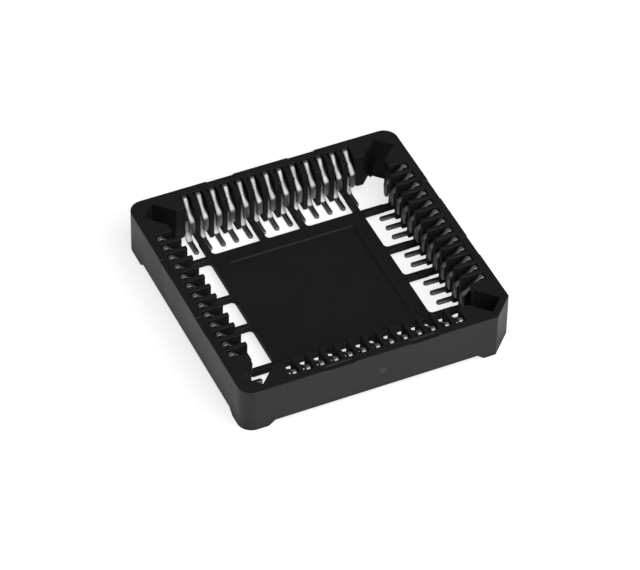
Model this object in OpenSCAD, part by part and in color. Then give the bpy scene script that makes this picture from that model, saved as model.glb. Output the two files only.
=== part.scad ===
// Surface-mount socket for a square leaded chip carrier.
// One moulded housing holds a ring of formed spring contacts, one in each slot.
// The board plane is z = 0, the centre of the body is the origin, and the
// bevelled corner that marks the first contact is at (+x, -y).  Millimetres.

/* [Body] */
// Number of contacts in each of the four rows
per_side = 13; // [11:2:17]
// Distance between neighbouring contacts
pitch = 1.27; // [1.27:0.01:1.32]
// Length of side left over beside the contacts, both ends together
end_margin = 8.76; // [8.6:0.02:9.2]
// Height of the rim above the board
body_h = 4.42; // [4.3:0.02:5]
// Thickness of the outer wall behind the slots
wall_t = 0.77; // [0.7:0.01:0.85]
// Radius of the three plain upright corners
corner_r = 1.3; // [0.8:0.1:1.6]
// Leg of the bevel at the first-contact corner
bevel = 2.0; // [1.6:0.1:2.4]

/* [Floor] */
// Height of the seating floor above the board
floor_top = 1.0; // [0.9:0.05:1.2]
// Height of the underside of floor and ribs
floor_low = 0.35; // [0.3:0.05:0.45]
// Half width of the shallow square recess in the floor
recess_half = 5.8; // [4.5:0.1:5.9]
// Depth of that recess
recess_d = 0.13; // [0.08:0.01:0.2]
// Radius of the inner corners of the floor windows
window_r = 0.35; // [0.2:0.05:0.45]
// Width of the bridges that join the floor to the ribs
bridge_w = 0.46; // [0.42:0.01:0.6]

/* [Ribs and corners] */
// Thickness of the ribs between the slots
rib_t = 0.40; // [0.36:0.01:0.44]
// Depth of the ribs, from the wall toward the cavity
rib_depth = 2.0; // [1.9:0.02:2.1]
// How far the corner blocks stop short of the wall's inner face line
block_depth = 1.61; // [1.4:0.01:1.8]
// Height of the underside of the corner blocks
block_low = 0.9; // [0.7:0.05:1.1]
// Rounding on the lower edge of the corner blocks
block_r = 0.4; // [0.2:0.05:0.5]
// Width of the slanting extraction pockets in the corners
pocket_w = 1.9; // [1.6:0.1:2.1]
// Plastic left between a plain pocket and the bevelled corner
pocket_skin = 0.62; // [0.5:0.02:0.9]
// Height of the web that closes the two plain pockets
web_top = 1.0; // [0.8:0.05:1.4]

/* [Feet] */
// Height of the wall's lower edge above the board
stand_off = 0.5; // [0.4:0.05:0.6]
// Width of a foot along the wall
foot_w = 2.33; // [2:0.01:2.6]
// Extra width of the foot at the bevelled corner
foot_extra = 0.8; // [0.2:0.1:1]
// Run of the sloping side of a foot
foot_run = 0.6; // [0.2:0.1:0.8]

/* [Contacts] */
// Thickness of the contact strip
strip_t = 0.22; // [0.18:0.01:0.24]
// Width of the solder tail
tail_w = 0.46; // [0.36:0.02:0.5]
// Length of the solder tail, from the wall's inner face
tail_len = 3.17; // [2.9:0.01:3.4]
// Width of the upright leg
leg_w = 0.68; // [0.6:0.02:0.74]
// Length of the flat of the tail that is soldered to the board
toe_len = 1.45; // [1.2:0.05:1.6]
// Slope of the strip between the tail and the leg
ramp_angle = 45; // [40:1:50]
// Centre-line radius of the bend at the end of the flat
toe_bend = 0.35; // [0.3:0.05:0.5]
// Centre-line radius of the bend below the leg
heel_bend = 0.5; // [0.4:0.05:0.7]
// Centre-line radius of the hairpin at the top
pin_bend = 0.22; // [0.18:0.01:0.28]
// Angle swept by the hairpin
pin_sweep = 132; // [124:1:140]
// Length of the straight part of the spring arm
arm_len = 1.92; // [1.8:0.02:2.0]
// Centre-line radius of the contact bend
apex_bend = 0.45; // [0.4:0.05:0.6]
// Lean of the arm's lower end, away from the cavity
tip_lean = 3; // [0:1:10]
// Length of the arm's lower end
tip_len = 1.2; // [0.9:0.05:1.3]
// Width of the arm at the hairpin
arm_w = 0.40; // [0.36:0.01:0.44]
// Width of the arm at the contact bend
pad_w = 0.50; // [0.46:0.01:0.56]

/* [Hidden] */
$fn = 48;
// overshoot of every cutter past the face it opens
eps = 0.5;
row_half = (per_side - 1) / 2;
contact_count = 4 * per_side;
body_w = per_side * pitch + end_margin;
half_w = body_w / 2;
slot_w = pitch - rib_t;
slot_back = half_w - wall_t;
rib_face = slot_back - rib_depth;
block_face = slot_back - block_depth;
// end of the slot row, where the corner blocks begin
row_end = row_half * pitch + slot_w / 2;
// ribs that carry a bridge: the two beside the middle, and the last one
mid_rib = 1.5 * pitch;
last_rib = (row_half - 0.5) * pitch;
window_in = last_rib + bridge_w / 2 + 0.03;
// distance of a pocket's end wall from the centre, along the diagonal
pocket_end = (body_w - bevel) / sqrt(2) - pocket_skin;
pocket_start = window_in * sqrt(2) + pocket_w / 2;

// strips sunk in the outer edge of the rim, two on each side
strip_mid = 3.85;
strip_len = 2.5;
strip_wide = 0.5;
strip_deep = 0.1;

// round moulding gate on the front wall
gate_x = 0.14;
gate_z = 2.31;
gate_r = 0.4;
gate_deep = 0.06;

// contact profile, worked out along the centre line: u is measured from the
// centre of the body toward the wall, z upward
leg_u = slot_back - strip_t / 2;
tail_tip = slot_back - tail_len;
toe_u = tail_tip + toe_len;
ramp_low = [toe_u, strip_t / 2 + toe_bend] + toe_bend * [sin(ramp_angle), -cos(ramp_angle)];
heel_u = leg_u - heel_bend;
ramp_top_u = heel_u + heel_bend * sin(ramp_angle);
ramp_len = (ramp_top_u - ramp_low[0]) / cos(ramp_angle);
heel_z = ramp_low[1] + ramp_len * sin(ramp_angle) + heel_bend * cos(ramp_angle);
// press-fit shoulders, above the heel
shoulder_z = [heel_z + 0.1, heel_z + 1.1];
hairpin = [leg_u - pin_bend, body_h - strip_t / 2 - pin_bend];
arm_dir = 90 + pin_sweep;
arm_top = hairpin + pin_bend * [cos(pin_sweep), sin(pin_sweep)];
arm_low = arm_top + arm_len * [cos(arm_dir), sin(arm_dir)];
apex_mid = arm_low + apex_bend * [cos(arm_dir + 90), sin(arm_dir + 90)];
tip_dir = 270 + tip_lean;
tip_top = apex_mid - apex_bend * [cos(tip_dir + 90), sin(tip_dir + 90)];
tip_low = tip_top + tip_len * [cos(tip_dir), sin(tip_dir)];
// overlap of the straight pieces with the bends
lap = 0.01;
// heights between which the arm widens from arm_w to pad_w
widen_z = [3.75, 3.05];

function two_digits(n) = n < 10 ? str("0", n) : str(n);
function contact_name(n) = str("contact_", two_digits(n));

// Node to draw, or "all"

// Draw the children once for each of the four sides; written for the front.
module four_sides() {
    for (q = [0 : 3]) rotate(90 * q) children();
}

// Lay a profile in (u, z) on the front side and give it a width along the row.
module lay_profile(width) {
    rotate([90, 0, -90])
        linear_extrude(width, center = true)
            children();
}

// ---------------------------------------------------------------- housing

// Outline of the body from above.
module body_plan() {
    inner = body_w - 2 * corner_r;
    difference() {
        union() {
            square([body_w, inner], center = true);
            square([inner, body_w], center = true);
            for (sx = [-1, 1], sy = [-1, 1])
                translate([sx, sy] * inner / 2) circle(corner_r);
        }
        translate([half_w, -half_w]) rotate(45) square(bevel * sqrt(2), center = true);
    }
}

// Slots of the front row from above.
module slot_row_plan() {
    for (k = [-row_half : row_half])
        translate([k * pitch - slot_w / 2, -slot_back])
            square([slot_w, slot_back - rib_face + eps]);
}

// Opening for the chip carrier from above: cavity, corners and slots.
module cavity_plan() {
    square(2 * rib_face, center = true);
    four_sides() {
        translate([row_end - eps, row_end - eps])
            square(block_face - row_end + eps);
        slot_row_plan();
    }
}

// One floor window of the front side, from x0 to x1, rounded at its inner edge.
module window_plan(x0, x1) {
    reach = rib_face - window_in;
    translate([x0, -rib_face]) square([x1 - x0, reach - window_r]);
    translate([x0 + window_r, -rib_face]) square([x1 - x0 - 2 * window_r, reach]);
    for (x = [x0 + window_r, x1 - window_r])
        translate([x, -window_in - window_r]) circle(window_r);
}

// Everything that opens right through the floor.
module through_plan() {
    side = bridge_w / 2;
    four_sides() {
        window_plan(-mid_rib + side, mid_rib - side);
        window_plan(mid_rib + side, last_rib - side);
        window_plan(-last_rib + side, -mid_rib - side);
        slot_row_plan();
        translate([window_in, window_in]) square(block_face - window_in);
    }
}

// Slanting pocket toward the corner at the given angle.
module pocket_plan(angle) {
    rotate(angle)
        translate([pocket_start, -pocket_w / 2])
            square([pocket_end - pocket_start, pocket_w]);
}

// Space under the front wall between its two feet, as seen from the front.
module relief_profile(extra) {
    left = -half_w + foot_w;
    right = half_w - foot_w - extra;
    polygon([
        [left - foot_run * eps / stand_off, -eps],
        [left, 0],
        [left + foot_run, stand_off],
        [right - foot_run, stand_off],
        [right, 0],
        [right + foot_run * eps / stand_off, -eps]
    ]);
}

// Space under one corner block, with the rounding of its lower edge.
module block_relief_profile() {
    translate([row_end - eps, -eps])
        square([half_w - foot_w - row_end + eps, block_low + eps]);
    difference() {
        translate([row_end - eps, block_low - eps]) square(block_r + eps);
        translate([row_end + block_r, block_low + block_r]) circle(block_r);
        translate([row_end + block_r, block_low]) square([eps, block_r + eps]);
    }
}

module housing_body() {
    difference() {
        linear_extrude(body_h) body_plan();

        // cavity, its floor recess, and the openings through the floor
        translate([0, 0, floor_top]) linear_extrude(body_h) cavity_plan();
        translate([0, 0, floor_top - recess_d])
            linear_extrude(body_h) square(2 * recess_half, center = true);
        translate([0, 0, -eps]) linear_extrude(body_h) through_plan();

        // hollow under the floor and the ribs, leaving the feet
        translate([0, 0, -eps])
            linear_extrude(floor_low + eps)
                difference() {
                    square(2 * slot_back, center = true);
                    for (sx = [-1, 1], sy = [-1, 1])
                        translate([sx, sy] * half_w) square(2 * foot_w, center = true);
                }
    }
}

module housing_cuts() {
    // extraction pockets are open below, the other two end on a web
    for (angle = [45, 225])
        translate([0, 0, -eps]) linear_extrude(body_h + 2 * eps) pocket_plan(angle);
    for (angle = [135, 315])
        translate([0, 0, web_top]) linear_extrude(body_h) pocket_plan(angle);

    // reliefs under the walls; the bevelled corner has the wider foot
    for (q = [0 : 3])
        rotate(90 * q)
            translate([0, -slot_back, 0])
                rotate([90, 0, 0])
                    linear_extrude(wall_t + eps)
                        mirror([q == 3 ? 1 : 0, 0])
                            relief_profile(q == 0 || q == 3 ? foot_extra : 0);

    // reliefs under the corner blocks
    four_sides()
        for (flip = [0, 1])
            mirror([flip, 0, 0])
                translate([0, -block_face + eps, 0])
                    rotate([90, 0, 0])
                        linear_extrude(block_depth + eps)
                            block_relief_profile();

    // strips in the rim
    four_sides()
        for (sx = [-1, 1])
            translate([sx * strip_mid, -half_w, body_h])
                cube([strip_len, 2 * strip_wide, 2 * strip_deep], center = true);

    // gate mark
    translate([gate_x, -half_w, gate_z])
        rotate([90, 0, 0])
            cylinder(h = 2 * gate_deep, r = gate_r, center = true);
}

module housing() {
    color([0.16, 0.16, 0.17])
        difference() {
            housing_body();
            housing_cuts();
        }
}

// --------------------------------------------------------------- contacts

// Piece of strip bent about a centre, from angle a0 through a sweep.
module strip_bend(mid, radius, a0, sweep) {
    reach = 2 * radius;
    translate(mid)
        intersection() {
            difference() {
                circle(radius + strip_t / 2);
                circle(radius - strip_t / 2);
            }
            polygon([
                [0, 0],
                reach * [cos(a0), sin(a0)],
                reach * [cos(a0 + sweep / 2), sin(a0 + sweep / 2)] * 1.2,
                reach * [cos(a0 + sweep), sin(a0 + sweep)]
            ]);
        }
}

// Straight piece of strip from a point, in a direction; it starts a little
// early and ends a little late, so that it joins the bends it runs between.
module strip_run(start, direction, length) {
    translate(start)
        rotate(direction)
            translate([-lap, -strip_t / 2])
                square([length + 2 * lap, strip_t]);
}

// Solder tail, lying on the board plane, and the slope up to the leg.
module tail() {
    intersection() {
        lay_profile(slot_w) {
            translate([tail_tip, 0]) square([toe_len + lap, strip_t]);
            strip_bend([toe_u, strip_t / 2 + toe_bend], toe_bend, 270, ramp_angle);
            strip_run(ramp_low, ramp_angle, ramp_len);
            strip_bend([heel_u, heel_z], heel_bend, 270 + ramp_angle, 90 - ramp_angle);
        }
        // outline from above: round tip, narrow tail, wider at the leg
        translate([0, 0, -eps])
            linear_extrude(body_h)
                union() {
                    translate([0, -tail_tip - tail_w / 2]) circle(d = tail_w);
                    translate([-tail_w / 2, -toe_u])
                        square([tail_w, toe_len - tail_w / 2]);
                    polygon([
                        [-tail_w / 2, -toe_u],
                        [tail_w / 2, -toe_u],
                        [leg_w / 2, -heel_u],
                        [leg_w / 2, -slot_back],
                        [-leg_w / 2, -slot_back],
                        [-leg_w / 2, -heel_u]
                    ]);
                }
    }
}

// Upright leg against the slot's back wall, with press-fit shoulders.
module leg() {
    intersection() {
        lay_profile(slot_w)
            translate([leg_u - strip_t / 2, heel_z]) square([strip_t, hairpin[1] - heel_z]);
        rotate([90, 0, 0])
            linear_extrude(body_w)
                union() {
                    translate([-leg_w / 2, 0]) square([leg_w, shoulder_z[1]]);
                    translate([-slot_w / 2, shoulder_z[0]])
                        square([slot_w, shoulder_z[1] - shoulder_z[0]]);
                    polygon([
                        [-leg_w / 2, shoulder_z[1]],
                        [leg_w / 2, shoulder_z[1]],
                        [arm_w / 2, hairpin[1]],
                        [-arm_w / 2, hairpin[1]]
                    ]);
                }
    }
}

// Hairpin, spring arm, contact bend and free lower end.
module spring_arm() {
    intersection() {
        lay_profile(pad_w) {
            strip_bend(hairpin, pin_bend, 0, pin_sweep);
            strip_run(arm_top, arm_dir, arm_len);
            strip_bend(apex_mid, apex_bend, arm_dir - 90, tip_dir - arm_dir);
            strip_run(tip_top, tip_dir, tip_len);
        }
        // outline from the front: narrow at the hairpin, a rounded lower end
        rotate([90, 0, 0])
            linear_extrude(body_w)
                union() {
                    polygon([
                        [-pad_w / 2, tip_low[1] + pad_w / 2],
                        [pad_w / 2, tip_low[1] + pad_w / 2],
                        [pad_w / 2, widen_z[1]],
                        [arm_w / 2, widen_z[0]],
                        [arm_w / 2, body_h],
                        [-arm_w / 2, body_h],
                        [-arm_w / 2, widen_z[0]],
                        [-pad_w / 2, widen_z[1]]
                    ]);
                    translate([0, tip_low[1] + pad_w / 2]) circle(d = pad_w);
                }
    }
}

// Contact number n, counted round the body from the middle of the front row.
module contact(n) {
    place = n - 1 + row_half;
    row = floor(place / per_side);
    seat = place - row * per_side - row_half;
    color([0.78, 0.77, 0.74])
        rotate(90 * row)
            translate([seat * pitch, 0, 0])
                union() {
                    tail();
                    leg();
                    spring_arm();
                }
}

housing();
for (n = [1 : contact_count])
    contact(n);
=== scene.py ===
"""Studio scene for a surface-mount socket that takes a square leaded chip carrier.

The socket is a low black moulded frame with a windowed floor and a ring of
bent, tin-plated spring contacts.  Sizes are metres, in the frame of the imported
model: the board plane is z = 0 and the bevelled corner is at (+x, -y).
"""

import logging
import math
from dataclasses import dataclass, field
from enum import Enum
from typing import Iterable, Sequence

import bmesh
import bpy
from mathutils import Matrix, Vector


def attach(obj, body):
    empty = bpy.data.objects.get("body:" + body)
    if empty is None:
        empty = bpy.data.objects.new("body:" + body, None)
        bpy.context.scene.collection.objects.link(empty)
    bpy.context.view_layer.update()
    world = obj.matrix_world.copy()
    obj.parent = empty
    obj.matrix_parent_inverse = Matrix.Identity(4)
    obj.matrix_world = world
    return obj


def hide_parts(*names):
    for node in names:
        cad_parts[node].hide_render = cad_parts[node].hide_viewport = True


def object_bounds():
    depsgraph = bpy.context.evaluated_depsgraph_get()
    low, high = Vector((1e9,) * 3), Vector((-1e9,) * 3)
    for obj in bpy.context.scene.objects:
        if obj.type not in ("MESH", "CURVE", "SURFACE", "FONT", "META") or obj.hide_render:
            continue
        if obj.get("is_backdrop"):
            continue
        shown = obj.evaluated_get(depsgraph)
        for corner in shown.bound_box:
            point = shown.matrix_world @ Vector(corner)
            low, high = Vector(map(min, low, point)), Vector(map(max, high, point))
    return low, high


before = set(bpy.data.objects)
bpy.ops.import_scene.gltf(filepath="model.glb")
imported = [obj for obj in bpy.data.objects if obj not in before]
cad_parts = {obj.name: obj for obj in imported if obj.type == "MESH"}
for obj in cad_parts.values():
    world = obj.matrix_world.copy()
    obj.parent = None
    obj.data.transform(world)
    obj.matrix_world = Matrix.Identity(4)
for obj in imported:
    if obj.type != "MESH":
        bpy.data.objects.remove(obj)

LOG = logging.getLogger("socket")
MM = 0.001
BODY = "root"

# a Mix node's sockets for its share and its two colours, and for the result
MIX_INPUTS = (0, 6, 7)
MIX_OUTPUT = 2

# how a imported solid's triangles become clean faces again
MERGE_WITHIN = 0.0005 * MM
FLAT_WITHIN = math.radians(0.6)
EDGE_FROM = math.radians(32)
SMOOTH_UP_TO = math.radians(50)

Colour = tuple[float, float, float]


def srgb(red: int, green: int, blue: int) -> Colour:
    """Turn a colour in screen values into linear light.

    Args:
        red: Red from 0 to 255.
        green: Green from 0 to 255.
        blue: Blue from 0 to 255.

    Returns:
        The linear colour, each part from 0 to 1.
    """

    def straighten(value: int) -> float:
        """Undo the screen curve for one part."""
        part = value / 255
        return part / 12.92 if part <= 0.04045 else ((part + 0.055) / 1.055) ** 2.4

    return straighten(red), straighten(green), straighten(blue)


# ------------------------------------------------------------------- nodes


class Wiring:
    """Short hand for adding and linking the nodes of one tree."""

    def __init__(self, tree: bpy.types.NodeTree) -> None:
        """Keep the tree.

        Args:
            tree: The shader or geometry tree to add to.
        """
        self.tree = tree

    def add(self, kind: str, **settings: object) -> bpy.types.Node:
        """Add a node and set its plain properties.

        Args:
            kind: The node's type name.
            **settings: Properties of the node, such as an operation.

        Returns:
            The new node.
        """
        made = self.tree.nodes.new(kind)
        for key, value in settings.items():
            setattr(made, key, value)
        return made

    def join(self, source: bpy.types.NodeSocket, target: bpy.types.NodeSocket) -> None:
        """Link an output to an input."""
        self.tree.links.new(source, target)

    def feed(self, target: bpy.types.NodeSocket, value: object) -> None:
        """Give an input a link where the value is a socket, or a plain value."""
        if isinstance(value, bpy.types.NodeSocket):
            self.join(value, target)
        elif isinstance(value, tuple) and len(value) == 3 and target.type == "RGBA":
            target.default_value = (*value, 1.0)
        else:
            target.default_value = value

    def sum(self, operation: str, *values: object) -> bpy.types.NodeSocket:
        """Add a Math node.

        Args:
            operation: The node's operation, such as MULTIPLY.
            *values: Its inputs, each a number or a socket.

        Returns:
            The node's output.
        """
        made = self.add("ShaderNodeMath", operation=operation)
        for slot, value in zip(made.inputs, values):
            self.feed(slot, value)
        return made.outputs[0]

    def blend(self, share: object, first: object, second: object) -> bpy.types.NodeSocket:
        """Mix two colours.

        Args:
            share: How much of the second colour shows.
            first: The first colour or socket.
            second: The second colour or socket.

        Returns:
            The mixed colour.
        """
        made = self.add("ShaderNodeMix", data_type="RGBA")
        for slot, value in zip(MIX_INPUTS, (share, first, second)):
            self.feed(made.inputs[slot], value)
        return made.outputs[MIX_OUTPUT]

    def spread(self, value: object, low: float, high: float) -> bpy.types.NodeSocket:
        """Stretch a value from low..high to 0..1, smoothly and held at both ends."""
        made = self.add("ShaderNodeMapRange", interpolation_type="SMOOTHSTEP")
        self.feed(made.inputs["Value"], value)
        made.inputs["From Min"].default_value = low
        made.inputs["From Max"].default_value = high
        return made.outputs["Result"]


def open_group(
    name: str,
    inputs: Sequence[tuple[str, str, float]],
    outputs: Sequence[tuple[str, str]],
) -> tuple[Wiring, bpy.types.Node, bpy.types.Node]:
    """Start a shader node group with named sockets.

    Args:
        name: The group's name.
        inputs: Name, socket type and default value of each input.
        outputs: Name and socket type of each output.

    Returns:
        The wiring of the group, its input node and its output node.
    """
    tree = bpy.data.node_groups.new(name, "ShaderNodeTree")
    for label, kind, value in inputs:
        socket = tree.interface.new_socket(label, in_out="INPUT", socket_type=kind)
        if kind == "NodeSocketFloat":
            socket.default_value = value
    for label, kind in outputs:
        tree.interface.new_socket(label, in_out="OUTPUT", socket_type=kind)
    wires = Wiring(tree)
    return wires, wires.add("NodeGroupInput"), wires.add("NodeGroupOutput")


class SurfaceEffects:
    """The effects that more than one finish uses, each a shader node group."""

    def __init__(self) -> None:
        """Build the groups once."""
        self.grain = self._grain()
        self.drift = self._drift()
        self.dust = self._dust()

    def _grain(self) -> bpy.types.NodeTree:
        """Make the fine grain of a moulded or plated surface.

        Returns:
            A group that puts out a height and a fleck value.
        """
        wires, given, out = open_group(
            "Fine grain",
            [("Scale", "NodeSocketFloat", 4000.0), ("Stretch", "NodeSocketFloat", 1.0)],
            [("Height", "NodeSocketFloat"), ("Fleck", "NodeSocketFloat")],
        )
        place = wires.add("ShaderNodeTexCoord")
        along = wires.add("ShaderNodeCombineXYZ")
        wires.feed(along.inputs[0], 1.0)
        wires.feed(along.inputs[1], 1.0)
        wires.join(given.outputs["Stretch"], along.inputs[2])
        squeeze = wires.add("ShaderNodeVectorMath", operation="MULTIPLY")
        wires.join(place.outputs["Object"], squeeze.inputs[0])
        wires.join(along.outputs[0], squeeze.inputs[1])
        noise = wires.add("ShaderNodeTexNoise")
        noise.inputs["Detail"].default_value = 3.0
        noise.inputs["Roughness"].default_value = 0.55
        wires.join(squeeze.outputs[0], noise.inputs["Vector"])
        wires.join(given.outputs["Scale"], noise.inputs["Scale"])
        cells = wires.add("ShaderNodeTexVoronoi")
        wires.join(squeeze.outputs[0], cells.inputs["Vector"])
        wires.join(wires.sum("MULTIPLY", given.outputs["Scale"], 0.6), cells.inputs["Scale"])
        cloudy = wires.sum("MULTIPLY", noise.outputs[0], 0.7)
        pebbly = wires.sum("MULTIPLY", cells.outputs[0], 0.3)
        wires.join(wires.sum("ADD", cloudy, pebbly), out.inputs["Height"])
        wires.join(wires.spread(noise.outputs[0], 0.58, 0.75), out.inputs["Fleck"])
        return wires.tree

    def _drift(self) -> bpy.types.NodeTree:
        """Make the slow change of tone over a surface.

        Returns:
            A group that puts out a mask from 0 to 1.
        """
        wires, given, out = open_group(
            "Tone drift",
            [("Scale", "NodeSocketFloat", 250.0), ("Sharpness", "NodeSocketFloat", 0.5)],
            [("Mask", "NodeSocketFloat")],
        )
        place = wires.add("ShaderNodeTexCoord")
        noise = wires.add("ShaderNodeTexNoise")
        noise.inputs["Detail"].default_value = 4.0
        noise.inputs["Distortion"].default_value = 0.6
        wires.join(place.outputs["Object"], noise.inputs["Vector"])
        wires.join(given.outputs["Scale"], noise.inputs["Scale"])
        wires.join(given.outputs["Sharpness"], noise.inputs["Roughness"])
        wires.join(wires.spread(noise.outputs[0], 0.3, 0.7), out.inputs["Mask"])
        return wires.tree

    def _dust(self) -> bpy.types.NodeTree:
        """Make a scatter of tiny pale specks that lie on upward faces.

        Returns:
            A group that puts out a mask from 0 to 1.
        """
        wires, given, out = open_group(
            "Settled dust",
            [("Scale", "NodeSocketFloat", 900.0), ("Amount", "NodeSocketFloat", 0.3)],
            [("Mask", "NodeSocketFloat")],
        )
        place = wires.add("ShaderNodeTexCoord")
        cells = wires.add("ShaderNodeTexVoronoi")
        wires.join(place.outputs["Object"], cells.inputs["Vector"])
        wires.join(given.outputs["Scale"], cells.inputs["Scale"])
        speck = wires.sum("SUBTRACT", 1.0, wires.spread(cells.outputs["Distance"], 0.05, 0.16))
        chosen = wires.add("ShaderNodeSeparateColor")
        wires.join(cells.outputs["Color"], chosen.inputs[0])
        rare = wires.sum("LESS_THAN", chosen.outputs[0], given.outputs["Amount"])
        tilt = wires.add("ShaderNodeSeparateXYZ")
        shape = wires.add("ShaderNodeNewGeometry")
        wires.join(shape.outputs["Normal"], tilt.inputs[0])
        level = wires.spread(tilt.outputs[2], 0.5, 0.95)
        kept = wires.sum("MULTIPLY", speck, rare)
        wires.join(wires.sum("MULTIPLY", kept, level), out.inputs["Mask"])
        return wires.tree


def place_group(wires: Wiring, tree: bpy.types.NodeTree, **values: float) -> bpy.types.Node:
    """Put a group in a material with its own values.

    Args:
        wires: The material's wiring.
        tree: The group.
        **values: The inputs by name, with underscores for spaces.

    Returns:
        The group node.
    """
    made = wires.add("ShaderNodeGroup", node_tree=tree)
    for key, value in values.items():
        made.inputs[key.replace("_", " ")].default_value = value
    return made


def fresh_material(name: str) -> tuple[bpy.types.Material, Wiring, bpy.types.Node]:
    """Start a material with a Principled BSDF.

    Args:
        name: The material's name.

    Returns:
        The material, its wiring and its shader.
    """
    made = bpy.data.materials.new(name)
    made.use_nodes = True
    wires = Wiring(made.node_tree)
    return made, wires, made.node_tree.nodes["Principled BSDF"]


# ---------------------------------------------------------------- finishes


@dataclass(frozen=True)
class MouldedPlastic:
    """Black glass-filled plastic as it leaves the mould.

    Attributes:
        name: The material's name.
        deep: Its darkest tone.
        pale: The greyer tone of rubbed and dusty places.
        edge: The paler tone of the rounded edges, partly rubbed wear and partly painted highlight;
            the dust specks take it too.
        gate_tone: The tone of the round gate mark.
        roughness: Roughness of the clean surface.
        sheen: Specular level of the surface.
        gate: Centre of the round gate mark.
        gate_radius: Radius of the gate mark.
        grain_scale: How fine the grain is.
        grain_depth: How deep the grain is.
        drift_scale: How fine the slow change of tone is.
        dust_scale: How fine the dust is.
        dust_share: Share of the places that hold a speck.
    """

    name: str = "black moulded plastic"
    deep: Colour = srgb(12, 12, 14)
    pale: Colour = srgb(21, 21, 23)
    edge: Colour = srgb(50, 50, 51)
    gate_tone: Colour = srgb(86, 86, 86)
    roughness: float = 0.38
    sheen: float = 0.5
    gate: tuple[float, float, float] = (0.14 * MM, -12.635 * MM, 2.31 * MM)
    gate_radius: float = 0.4 * MM
    grain_scale: float = 5200.0
    grain_depth: float = 0.012 * MM
    drift_scale: float = 260.0
    dust_scale: float = 1100.0
    dust_share: float = 0.05

    def build(self, effects: SurfaceEffects) -> bpy.types.Material:
        """Make the material.

        Args:
            effects: The shared surface effects.

        Returns:
            The finished material.
        """
        made, wires, shader = fresh_material(self.name)
        grain = place_group(wires, effects.grain, Scale=self.grain_scale, Stretch=1.0)
        drift = place_group(wires, effects.drift, Scale=self.drift_scale, Sharpness=0.6)
        dust = place_group(wires, effects.dust, Scale=self.dust_scale, Amount=self.dust_share)
        worn = wires.sum("MULTIPLY", drift.outputs["Mask"], 0.35)
        tone = wires.blend(worn, self.deep, self.pale)
        tone = wires.blend(wires.sum("MULTIPLY", grain.outputs["Fleck"], 0.30), tone, self.pale)
        tone = wires.blend(self._gate_mask(wires), tone, self.gate_tone)
        # painted highlight: the rounded edges are painted paler, partly as rubbed wear and partly
        # as a highlight
        wear_and_highlight = wires.add("ShaderNodeAttribute", attribute_name="edge_wear_and_highlight")
        tone = wires.blend(wires.sum("MULTIPLY", wear_and_highlight.outputs["Fac"], 0.45), tone, self.edge)
        tone = wires.blend(wires.sum("MULTIPLY", dust.outputs["Mask"], 0.5), tone, self.edge)
        wires.join(tone, shader.inputs["Base Color"])
        rough = wires.sum("ADD", self.roughness, wires.sum("MULTIPLY", drift.outputs["Mask"], 0.08))
        wires.join(rough, shader.inputs["Roughness"])
        shader.inputs["Specular IOR Level"].default_value = self.sheen
        bump = wires.add("ShaderNodeBump")
        bump.inputs["Strength"].default_value = 0.25
        bump.inputs["Distance"].default_value = self.grain_depth
        wires.join(grain.outputs["Height"], bump.inputs["Height"])
        wires.join(bump.outputs[0], shader.inputs["Normal"])
        return made

    def _gate_mask(self, wires: Wiring) -> bpy.types.NodeSocket:
        """Mask the paler disc that the moulding gate left.

        Args:
            wires: The material's wiring.

        Returns:
            A mask, 1 on the disc.
        """
        place = wires.add("ShaderNodeTexCoord")
        away = wires.add("ShaderNodeVectorMath", operation="DISTANCE")
        wires.join(place.outputs["Object"], away.inputs[0])
        away.inputs[1].default_value = self.gate
        near = wires.spread(away.outputs["Value"], self.gate_radius * 0.8, self.gate_radius * 1.1)
        return wires.sum("MULTIPLY", wires.sum("SUBTRACT", 1.0, near), 0.8)


@dataclass(frozen=True)
class TinPlate:
    """Matt tin plate over formed copper alloy strip.

    Attributes:
        name: The material's name.
        bright: The tone of clean plate.
        dull: The greyer tone of handled plate.
        roughness: Roughness of the clean plate.
        grain_scale: How fine the drawing lines are.
        grain_stretch: How long they run, where 1 is round grain.
        grain_depth: How deep they are.
        drift_scale: How fine the slow change of tone is.
    """

    name: str = "matt tin plate"
    bright: Colour = (0.60, 0.595, 0.575)
    dull: Colour = (0.43, 0.425, 0.405)
    roughness: float = 0.34
    grain_scale: float = 9000.0
    grain_stretch: float = 0.12
    grain_depth: float = 0.006 * MM
    drift_scale: float = 900.0

    def build(self, effects: SurfaceEffects) -> bpy.types.Material:
        """Make the material.

        Args:
            effects: The shared surface effects.

        Returns:
            The finished material.
        """
        made, wires, shader = fresh_material(self.name)
        drawn = place_group(
            wires, effects.grain, Scale=self.grain_scale, Stretch=self.grain_stretch
        )
        drift = place_group(wires, effects.drift, Scale=self.drift_scale, Sharpness=0.6)
        handled = wires.sum("MULTIPLY", drift.outputs["Mask"], 0.6)
        tone = wires.blend(handled, self.bright, self.dull)
        wires.join(tone, shader.inputs["Base Color"])
        shader.inputs["Metallic"].default_value = 1.0
        rough = wires.sum("ADD", self.roughness, wires.sum("MULTIPLY", drift.outputs["Mask"], 0.12))
        wires.join(rough, shader.inputs["Roughness"])
        bump = wires.add("ShaderNodeBump")
        bump.inputs["Strength"].default_value = 0.07
        bump.inputs["Distance"].default_value = self.grain_depth
        wires.join(drawn.outputs["Height"], bump.inputs["Height"])
        wires.join(bump.outputs[0], shader.inputs["Normal"])
        return made


# ------------------------------------------------------------------ meshes


class EdgeBreak(Enum):
    """How far the sharp edges of a piece are rounded, in metres."""

    MOULDED = 0.045 * MM
    COINED = 0.016 * MM


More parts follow.
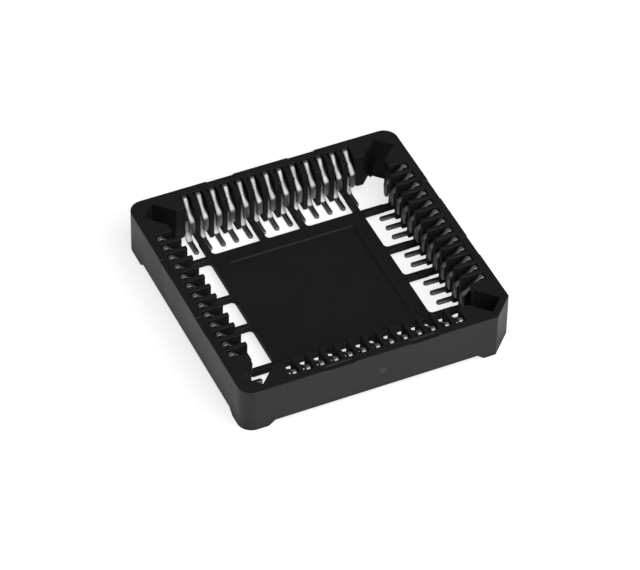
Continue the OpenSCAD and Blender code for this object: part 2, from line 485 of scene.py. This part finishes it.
def rounded_copy(node: str, name: str, rounding: EdgeBreak, steps: int = 2) -> bpy.types.Object:
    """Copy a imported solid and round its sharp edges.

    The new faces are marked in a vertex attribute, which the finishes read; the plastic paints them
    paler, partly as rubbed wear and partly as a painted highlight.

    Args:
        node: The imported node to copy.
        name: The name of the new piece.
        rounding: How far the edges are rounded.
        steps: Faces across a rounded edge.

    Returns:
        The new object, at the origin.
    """
    shape = bmesh.new()
    shape.from_mesh(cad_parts[node].data)
    bmesh.ops.transform(shape, matrix=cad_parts[node].matrix_world, verts=shape.verts)
    bmesh.ops.remove_doubles(shape, verts=shape.verts, dist=MERGE_WITHIN)
    bmesh.ops.dissolve_limit(
        shape, angle_limit=FLAT_WITHIN, verts=shape.verts, edges=shape.edges
    )
    shape.normal_update()
    edges = [e for e in shape.edges if e.is_manifold and e.calc_face_angle(0.0) > EDGE_FROM]
    made = bmesh.ops.bevel(
        shape,
        geom=edges,
        offset=rounding.value,
        offset_type="OFFSET",
        segments=steps,
        profile=0.5,
        affect="EDGES",
        clamp_overlap=False,
        loop_slide=False,
        miter_outer="SHARP",
        miter_inner="SHARP",
    )
    # marks the rounded faces that the plastic paints paler, partly rubbed wear and partly painted
    # highlight
    wear_and_highlight = shape.verts.layers.float.new("edge_wear_and_highlight")
    for face in made["faces"]:
        for corner in face.verts:
            corner[wear_and_highlight] = 1.0
    mesh = bpy.data.meshes.new(name)
    shape.to_mesh(mesh)
    shape.free()
    for face in mesh.polygons:
        face.use_smooth = True
    mesh.set_sharp_from_angle(angle=SMOOTH_UP_TO)
    piece = bpy.data.objects.new(name, mesh)
    bpy.context.scene.collection.objects.link(piece)
    flatten = piece.modifiers.new("flat faces", "WEIGHTED_NORMAL")
    flatten.mode, flatten.weight, flatten.keep_sharp = "FACE_AREA", 100, True
    return made_plain(piece, name)


def made_plain(source: bpy.types.Object, name: str) -> bpy.types.Object:
    """Turn an object with modifiers into a plain mesh at the origin.

    Args:
        source: The object; it is deleted.
        name: The name of the new piece.

    Returns:
        The new object.
    """
    bpy.context.view_layer.update()
    graph = bpy.context.evaluated_depsgraph_get()
    mesh = bpy.data.meshes.new_from_object(
        source.evaluated_get(graph), preserve_all_data_layers=True, depsgraph=graph
    )
    bpy.data.objects.remove(source, do_unlink=True)
    mesh.name = name
    piece = bpy.data.objects.new(name, mesh)
    bpy.context.scene.collection.objects.link(piece)
    return piece


def settle(
    piece: bpy.types.Object, finish: bpy.types.Material, nodes: Iterable[str]
) -> None:
    """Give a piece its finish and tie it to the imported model.

    Args:
        piece: The new piece.
        finish: Its material.
        nodes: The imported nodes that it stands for.
    """
    piece.data.materials.clear()
    piece.data.materials.append(finish)
    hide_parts(*nodes)
    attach(piece, BODY)
    LOG.info("%s: %d faces", piece.name, len(piece.data.polygons))


# ------------------------------------------------------------ sub-assembly


@dataclass
class Housing:
    """The moulded frame, with its edges broken as a mould leaves them.

    Attributes:
        finish: The plastic.
        node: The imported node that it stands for.
    """

    finish: MouldedPlastic = field(default_factory=MouldedPlastic)
    node: str = "housing"

    def build(self, effects: SurfaceEffects) -> bpy.types.Object:
        """Make and dress the frame.

        Args:
            effects: The shared surface effects.

        Returns:
            The finished piece.
        """
        piece = rounded_copy(self.node, "moulded_frame", EdgeBreak.MOULDED)
        settle(piece, self.finish.build(effects), [self.node])
        return piece


@dataclass
class ContactRing:
    """The ring of spring contacts, one formed strip repeated in four rows.

    Attributes:
        finish: The plating.
        per_row: Contacts in a row.
        rows: Rows round the frame.
        pitch: Distance between neighbours.
        sway: Largest random turn of a contact about the frame's middle, in radians.
        seed: Seed of the random lean.
    """

    finish: TinPlate = field(default_factory=TinPlate)
    per_row: int = 13
    rows: int = 4
    pitch: float = 1.27 * MM
    sway: float = math.radians(0.12)
    seed: int = 7

    def build(self, effects: SurfaceEffects) -> bpy.types.Object:
        """Make and dress the ring.

        Args:
            effects: The shared surface effects.

        Returns:
            The finished piece.
        """
        plate = self.finish.build(effects)
        source = rounded_copy("contact_01", "contact_source", EdgeBreak.COINED, steps=1)
        source.data.materials.append(plate)
        tree = self._ring_tree(plate)
        modifier = source.modifiers.new("ring", "NODES")
        modifier.node_group = tree
        wanted = {
            "Contacts per row": self.per_row,
            "Rows": self.rows,
            "Pitch": self.pitch,
            "Sway": self.sway,
            "Seed": self.seed,
        }
        for item in tree.interface.items_tree:
            if item.item_type == "SOCKET" and item.in_out == "INPUT" and item.name in wanted:
                modifier[item.identifier] = wanted[item.name]
        piece = made_plain(source, "contact_ring")
        names = [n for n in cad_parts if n.startswith("contact_")]
        settle(piece, plate, names)
        return piece

    def _ring_tree(self, plate: bpy.types.Material) -> bpy.types.NodeTree:
        """Build the tree that sets one contact out in rows round the frame.

        Args:
            plate: The material of the ring.

        Returns:
            The geometry tree.
        """
        tree = bpy.data.node_groups.new("Contact ring", "GeometryNodeTree")
        face = tree.interface
        face.new_socket("Geometry", in_out="INPUT", socket_type="NodeSocketGeometry")
        for label, kind in (
            ("Contacts per row", "NodeSocketInt"),
            ("Rows", "NodeSocketInt"),
            ("Pitch", "NodeSocketFloat"),
            ("Sway", "NodeSocketFloat"),
            ("Seed", "NodeSocketInt"),
        ):
            face.new_socket(label, in_out="INPUT", socket_type=kind)
        face.new_socket("Geometry", in_out="OUTPUT", socket_type="NodeSocketGeometry")
        wires = Wiring(tree)
        given, out = wires.add("NodeGroupInput"), wires.add("NodeGroupOutput")

        # one row: points at the pitch, centred on the frame
        count = given.outputs["Contacts per row"]
        reach = wires.sum("MULTIPLY", wires.sum("SUBTRACT", count, 1.0), given.outputs["Pitch"])
        first = wires.add("ShaderNodeCombineXYZ")
        wires.join(wires.sum("MULTIPLY", reach, -0.5), first.inputs[0])
        stride = wires.add("ShaderNodeCombineXYZ")
        wires.join(given.outputs["Pitch"], stride.inputs[0])
        line = wires.add("GeometryNodeMeshLine", mode="OFFSET")
        wires.join(count, line.inputs["Count"])
        wires.join(first.outputs[0], line.inputs["Start Location"])
        wires.join(stride.outputs[0], line.inputs["Offset"])
        lean = wires.add("FunctionNodeRandomValue", data_type="FLOAT")
        wires.join(wires.sum("MULTIPLY", given.outputs["Sway"], -1.0), lean.inputs[2])
        wires.join(given.outputs["Sway"], lean.inputs[3])
        wires.join(given.outputs["Seed"], lean.inputs["Seed"])
        turn = wires.add("ShaderNodeCombineXYZ")
        wires.join(lean.outputs[1], turn.inputs[2])
        row = wires.add("GeometryNodeInstanceOnPoints")
        wires.join(line.outputs[0], row.inputs["Points"])
        wires.join(given.outputs["Geometry"], row.inputs["Instance"])
        wires.join(turn.outputs[0], row.inputs["Rotation"])

        # four rows, each a quarter turn on from the last
        hub = wires.add("GeometryNodeMeshLine", mode="OFFSET")
        hub.inputs["Offset"].default_value = (0.0, 0.0, 0.0)
        wires.join(given.outputs["Rows"], hub.inputs["Count"])
        index = wires.add("GeometryNodeInputIndex")
        quarter = wires.sum("DIVIDE", math.tau, given.outputs["Rows"])
        spin = wires.add("ShaderNodeCombineXYZ")
        wires.join(wires.sum("MULTIPLY", index.outputs[0], quarter), spin.inputs[2])
        ring = wires.add("GeometryNodeInstanceOnPoints")
        wires.join(hub.outputs[0], ring.inputs["Points"])
        wires.join(row.outputs[0], ring.inputs["Instance"])
        wires.join(spin.outputs[0], ring.inputs["Rotation"])

        real = wires.add("GeometryNodeRealizeInstances")
        wires.join(ring.outputs[0], real.inputs[0])
        dress = wires.add("GeometryNodeSetMaterial")
        dress.inputs["Material"].default_value = plate
        wires.join(real.outputs[0], dress.inputs["Geometry"])
        wires.join(dress.outputs[0], out.inputs[0])
        return tree


# ------------------------------------------------------------------ studio


@dataclass(frozen=True)
class Lamp:
    """One soft area lamp.

    Attributes:
        name: The lamp's name.
        azimuth: Where it stands, degrees from the front toward the left.
        elevation: Its height above the horizon, in degrees.
        distance: Its distance from the object.
        width: The side of its square face.
        power: Its power in watts.
        tint: Its colour.
    """

    name: str
    azimuth: float
    elevation: float
    distance: float
    width: float
    power: float
    tint: Colour = (1.0, 1.0, 1.0)

    def build(self, aim: Vector) -> bpy.types.Object:
        """Make the lamp and point it.

        Args:
            aim: The point that it shines at.

        Returns:
            The lamp.
        """
        data = bpy.data.lights.new(self.name, "AREA")
        data.shape = "SQUARE"
        data.size = self.width
        data.energy = self.power
        data.color = self.tint
        lamp = bpy.data.objects.new(self.name, data)
        bpy.context.scene.collection.objects.link(lamp)
        away = toward(self.azimuth, self.elevation)
        lamp.location = aim + away * self.distance
        lamp.rotation_mode = "QUATERNION"
        lamp.rotation_quaternion = (-away).to_track_quat("-Z", "Y")
        return lamp


def toward(azimuth: float, elevation: float) -> Vector:
    """Give the direction of a place round the object.

    Args:
        azimuth: Degrees from the front, toward the left.
        elevation: Degrees above the horizon.

    Returns:
        The unit vector from the object to that place.
    """
    turn, rise = math.radians(azimuth), math.radians(elevation)
    level = math.cos(rise)
    return Vector((-math.sin(turn) * level, -math.cos(turn) * level, math.sin(rise)))


@dataclass
class Viewpoint:
    """The long-lens camera, in front, to the left and above.

    Attributes:
        azimuth: Degrees from the front, toward the left.
        elevation: Degrees above the horizon.
        roll: Turn of the camera about its own axis, in degrees.
        distance: From the point aimed at.
        aim: The point aimed at.
        lens: Focal length in millimetres, on a sensor of the default width.
        shift: Sideways and upward shift of the view, in widths of it.
    """

    azimuth: float = 24.717
    elevation: float = 43.863
    roll: float = 0.768
    distance: float = 334.982 * MM
    aim: tuple[float, float, float] = (-1.601 * MM, 1.578 * MM, 0.5 * MM)
    lens: float = 219.587
    shift: tuple[float, float] = (0.03953, -0.00207)

    def build(self) -> bpy.types.Object:
        """Make the camera the scene's own.

        Returns:
            The camera.
        """
        data = bpy.data.cameras.new("viewpoint")
        data.lens = self.lens
        data.shift_x, data.shift_y = self.shift
        data.clip_start, data.clip_end = 0.01, 10.0
        camera = bpy.data.objects.new("viewpoint", data)
        bpy.context.scene.collection.objects.link(camera)
        away = toward(self.azimuth, self.elevation)
        bearing = math.radians(self.azimuth)
        right = Vector((math.cos(bearing), -math.sin(bearing), 0.0))
        upward = away.cross(right)
        turn = math.radians(self.roll)
        level = right * math.cos(turn) + upward * math.sin(turn)
        upward = upward * math.cos(turn) - right * math.sin(turn)
        basis = Matrix((level, upward, away)).transposed().to_4x4()
        camera.matrix_world = Matrix.Translation(Vector(self.aim) + away * self.distance) @ basis
        bpy.context.scene.camera = camera
        return camera


@dataclass
class Studio:
    """Pale floor, soft lamps and a surround that is bright near the horizon.

    Attributes:
        floor_side: Side of the square floor.
        floor_tone: The floor's own colour.
        floor_lift: Light that the floor shows to the camera, besides its shading.
        mirror_lift: The same in reflections, and none of it under the object, so that reflections
            show a painted shade under it.
        footprint: Half the side of the square that the object covers.
        floor_gap: How far the floor lies under the object's feet.
        horizon: Strength of the surround near the horizon and below it.
        zenith: Strength of the surround overhead.
        dusk: Heights between which the surround goes over from one to the other.
        lamps: The lamps.
    """

    floor_side: float = 3.0
    floor_tone: Colour = (0.82, 0.82, 0.82)
    floor_lift: float = 0.72
    mirror_lift: float = 0.36
    footprint: float = 12.6 * MM
    floor_gap: float = 0.01 * MM
    horizon: float = 0.18
    zenith: float = 0.07
    dusk: tuple[float, float] = (0.15, 0.75)
    lamps: tuple[Lamp, ...] = (
        Lamp("front bank", -24.0, 46.0, 0.8, 0.95, 4.4),
        Lamp("left bank", 75.0, 50.0, 0.8, 0.60, 0.25),
    )

    def build(self) -> None:
        """Make the floor, the lamps and the surround."""
        self._floor()
        lo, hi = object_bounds()
        for lamp in self.lamps:
            lamp.build((lo + hi) / 2)
        self._surround()

    def _floor(self) -> None:
        """Lay the floor and mark it as stage."""
        half = self.floor_side / 2
        mesh = bpy.data.meshes.new("studio_floor")
        corners = [(-half, -half, 0.0), (half, -half, 0.0), (half, half, 0.0), (-half, half, 0.0)]
        mesh.from_pydata(corners, [], [(0, 1, 2, 3)])
        floor = bpy.data.objects.new("studio_floor", mesh)
        floor.location.z = -self.floor_gap
        bpy.context.scene.collection.objects.link(floor)
        made, wires, shader = fresh_material("pale floor")
        shader.inputs["Base Color"].default_value = (*self.floor_tone, 1.0)
        shader.inputs["Roughness"].default_value = 0.9
        shader.inputs["Specular IOR Level"].default_value = 0.1
        glow = wires.add("ShaderNodeEmission")
        rays = wires.add("ShaderNodeLightPath")
        glossy, through = rays.outputs["Is Glossy Ray"], rays.outputs["Is Transmission Ray"]
        mirrored = wires.sum("MAXIMUM", glossy, through)
        shown = wires.sum("MULTIPLY", rays.outputs["Is Camera Ray"], self.floor_lift)
        mirrored = wires.sum("MULTIPLY", mirrored, self.mirror_lift)
        # painted shade: reflections of the floor lose their glow under the object
        mirrored = wires.sum("MULTIPLY", mirrored, self._open_floor(wires))
        wires.join(wires.sum("MAXIMUM", shown, mirrored), glow.inputs["Strength"])
        both = wires.add("ShaderNodeAddShader")
        wires.join(shader.outputs[0], both.inputs[0])
        wires.join(glow.outputs[0], both.inputs[1])
        # seen from below, the floor lets the underside show
        side = wires.add("ShaderNodeNewGeometry")
        clear = wires.add("ShaderNodeBsdfTransparent")
        pane = wires.add("ShaderNodeMixShader")
        wires.join(side.outputs["Backfacing"], pane.inputs[0])
        wires.join(both.outputs[0], pane.inputs[1])
        wires.join(clear.outputs[0], pane.inputs[2])
        wires.join(pane.outputs[0], made.node_tree.nodes["Material Output"].inputs["Surface"])
        mesh.materials.append(made)
        floor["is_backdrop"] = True

    def _open_floor(self, wires: Wiring) -> bpy.types.NodeSocket:
        """Mask the part of the floor that the object doesn't cover; the glow in reflections is held
        to it, which paints shade under the object.

        Args:
            wires: The floor material's wiring.

        Returns:
            A mask, 0 under the object and 1 clear of it.
        """
        place = wires.add("ShaderNodeTexCoord")
        parts = wires.add("ShaderNodeSeparateXYZ")
        wires.join(place.outputs["Object"], parts.inputs[0])
        across = wires.sum("ABSOLUTE", parts.outputs[0])
        along = wires.sum("ABSOLUTE", parts.outputs[1])
        reach = wires.sum("MAXIMUM", across, along)
        return wires.spread(reach, self.footprint * 0.95, self.footprint * 1.1)

    def _surround(self) -> None:
        """Set the surround: white to the camera, a soft gradient as a light."""
        world = bpy.data.worlds.new("surround")
        bpy.context.scene.world = world
        world.use_nodes = True
        wires = Wiring(world.node_tree)
        back = world.node_tree.nodes["Background"]
        place = wires.add("ShaderNodeTexCoord")
        parts = wires.add("ShaderNodeSeparateXYZ")
        wires.join(place.outputs["Generated"], parts.inputs[0])
        height = wires.spread(parts.outputs[2], *self.dusk)
        level = wires.add("ShaderNodeMix", data_type="FLOAT")
        wires.join(height, level.inputs[0])
        level.inputs[2].default_value = self.horizon
        level.inputs[3].default_value = self.zenith
        rays = wires.add("ShaderNodeLightPath")
        shown = wires.add("ShaderNodeMix", data_type="FLOAT")
        wires.join(rays.outputs["Is Camera Ray"], shown.inputs[0])
        wires.join(level.outputs[0], shown.inputs[2])
        shown.inputs[3].default_value = 1.0
        wires.join(shown.outputs[0], back.inputs["Strength"])
        back.inputs["Color"].default_value = (1.0, 1.0, 1.0, 1.0)


def main() -> None:
    """Build the camera, the socket and the studio, in that order."""
    logging.basicConfig(level=logging.INFO, format="%(message)s")
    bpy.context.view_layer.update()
    bpy.context.scene.view_settings.view_transform = "Standard"
    effects = SurfaceEffects()
    Viewpoint().build()
    Housing().build(effects)
    ContactRing().build(effects)
    Studio().build()


if __name__ == "__main__":
    main()
